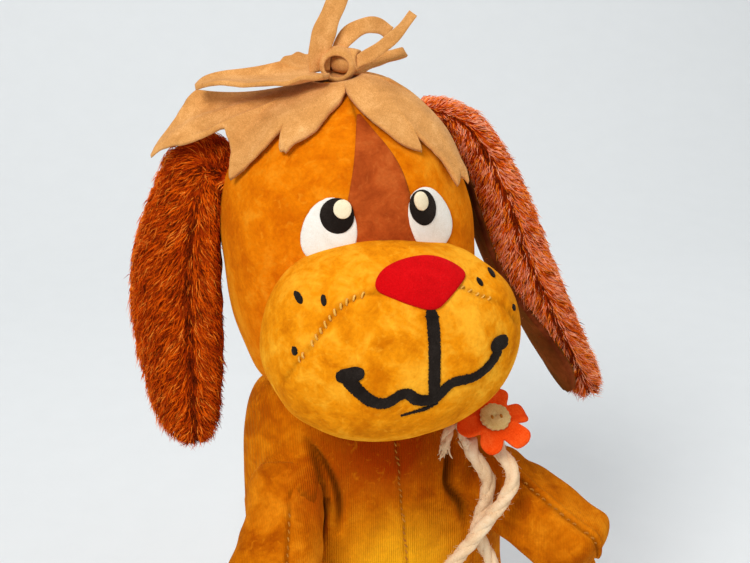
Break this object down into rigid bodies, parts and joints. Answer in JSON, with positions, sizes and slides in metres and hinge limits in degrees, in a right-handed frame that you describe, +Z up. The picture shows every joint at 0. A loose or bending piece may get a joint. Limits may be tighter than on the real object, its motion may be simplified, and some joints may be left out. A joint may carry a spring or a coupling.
{
  "type": "hand puppet",
  "caption": "Velveteen dog hand puppet with a stuffed head on a finger tube, two sleeved arms, plush ears, felt hair and face, and a yarn tie with a felt flower.",
  "frame": {"origin": "on the surface the puppet's hem stands on, under the middle of the puppet's bounding box", "axes": "+Z up from the hem towards the crown, -Y towards the front that the puppet faces, +X towards the flower's side"},
  "size_m": [0.1644, 0.109, 0.2802],
  "materials": {
    "gold_velveteen": "napped velveteen",
    "brown_velveteen": "napped velveteen",
    "rust_plush": "long-pile plush",
    "tan_felt": "matte felt",
    "white_felt": "matte felt",
    "black_felt": "matte felt",
    "cream_felt": "matte felt",
    "red_felt": "matte felt",
    "orange_felt": "matte felt",
    "cream_yarn": "twisted yarn",
    "stuffing": "loose fibre",
    "card_tube": "uncoated card"
  },
  "bodies": {
    "glove": {"glove_front_left_panel": "gold_velveteen", "glove_front_right_panel": "gold_velveteen", "glove_back_panel": "gold_velveteen", "hem_band": "gold_velveteen", "tie_yarn": "cream_yarn", "tie_knot": "cream_yarn", "tie_tail_left": "cream_yarn", "tie_tail_right": "cream_yarn", "flower_petals": "orange_felt", "flower_centre": "tan_felt", "yarn_strand_left": "cream_yarn", "yarn_strand_right": "cream_yarn"},
    "neck": {"neck_sleeve": "gold_velveteen"},
    "head": {"head_left_cover": "gold_velveteen", "head_right_cover": "gold_velveteen", "head_stuffing": "stuffing", "finger_tube": "card_tube", "forehead_blaze": "brown_velveteen", "muzzle_upper_cover": "gold_velveteen", "muzzle_lower_cover": "gold_velveteen", "muzzle_stuffing": "stuffing", "nose": "red_felt", "mouth_line": "black_felt", "left_eye_white": "white_felt", "left_eye_pupil": "black_felt", "left_eye_glint": "cream_felt", "right_eye_white": "white_felt", "right_eye_pupil": "black_felt", "right_eye_glint": "cream_felt", "whisker_dot_left_1": "black_felt", "whisker_dot_left_2": "black_felt", "whisker_dot_left_3": "black_felt", "whisker_dot_right_1": "black_felt", "whisker_dot_right_2": "black_felt", "whisker_dot_right_3": "black_felt", "hair_felt_left": "tan_felt", "hair_felt_right": "tan_felt", "hair_felt_back": "tan_felt", "hair_felt_top": "tan_felt", "topknot_knot": "tan_felt", "topknot_strip_1": "tan_felt", "topknot_strip_2": "tan_felt", "topknot_strip_3": "tan_felt", "topknot_strip_4": "tan_felt", "left_ear_root": "rust_plush", "right_ear_root": "rust_plush"},
    "ear_left": {"left_ear_pile": "rust_plush", "left_ear_lining": "brown_velveteen"},
    "ear_right": {"right_ear_pile": "rust_plush", "right_ear_lining": "brown_velveteen"},
    "shoulder_left": {"left_armhole_gusset": "gold_velveteen"},
    "arm_left": {"left_arm_inner_panel": "gold_velveteen", "left_arm_outer_panel": "gold_velveteen"},
    "shoulder_right": {"right_armhole_gusset": "gold_velveteen"},
    "arm_right": {"right_arm_inner_panel": "gold_velveteen", "right_arm_outer_panel": "gold_velveteen"}
  },
  "joints": [
    {"name": "head_nod", "type": "hinge", "parent": "glove", "child": "neck", "pos_m": [-0.00447, 0.01896, 0.147], "axis": [1, 0, 0], "range_deg": [-17, 1]},
    {"name": "head_turn", "type": "hinge", "parent": "neck", "child": "head", "pos_m": [-0.00447, 0.01896, 0.147], "axis": [0, 0, 1], "range_deg": [-35, 10]},
    {"name": "left_ear_flop", "type": "hinge", "parent": "head", "child": "ear_left", "pos_m": [-0.05197, 0.02146, 0.225], "axis": [0, 1, 0], "range_deg": [0, 18], "stiffness_Nm_per_rad": 0.06},
    {"name": "right_ear_flop", "type": "hinge", "parent": "head", "child": "ear_right", "pos_m": [0.03003, 0.02546, 0.232], "axis": [0, -1, 0], "range_deg": [0, 35], "stiffness_Nm_per_rad": 0.06},
    {"name": "left_arm_spread", "type": "hinge", "parent": "glove", "child": "shoulder_left", "pos_m": [-0.03897, -0.00634, 0.117], "axis": [0, 0, -1], "range_deg": [-2, 35]},
    {"name": "left_arm_lift", "type": "hinge", "parent": "shoulder_left", "child": "arm_left", "pos_m": [-0.03897, -0.00634, 0.117], "axis": [-0.9644, 0.2644, 0], "range_deg": [0, 45]},
    {"name": "right_arm_spread", "type": "hinge", "parent": "glove", "child": "shoulder_right", "pos_m": [0.03803, -0.00414, 0.111], "axis": [0, 0, 1], "range_deg": [-10, 30]},
    {"name": "right_arm_lift", "type": "hinge", "parent": "shoulder_right", "child": "arm_right", "pos_m": [0.03803, -0.00414, 0.111], "axis": [-0.6671, -0.745, 0], "range_deg": [-18, 25]}
  ]
}
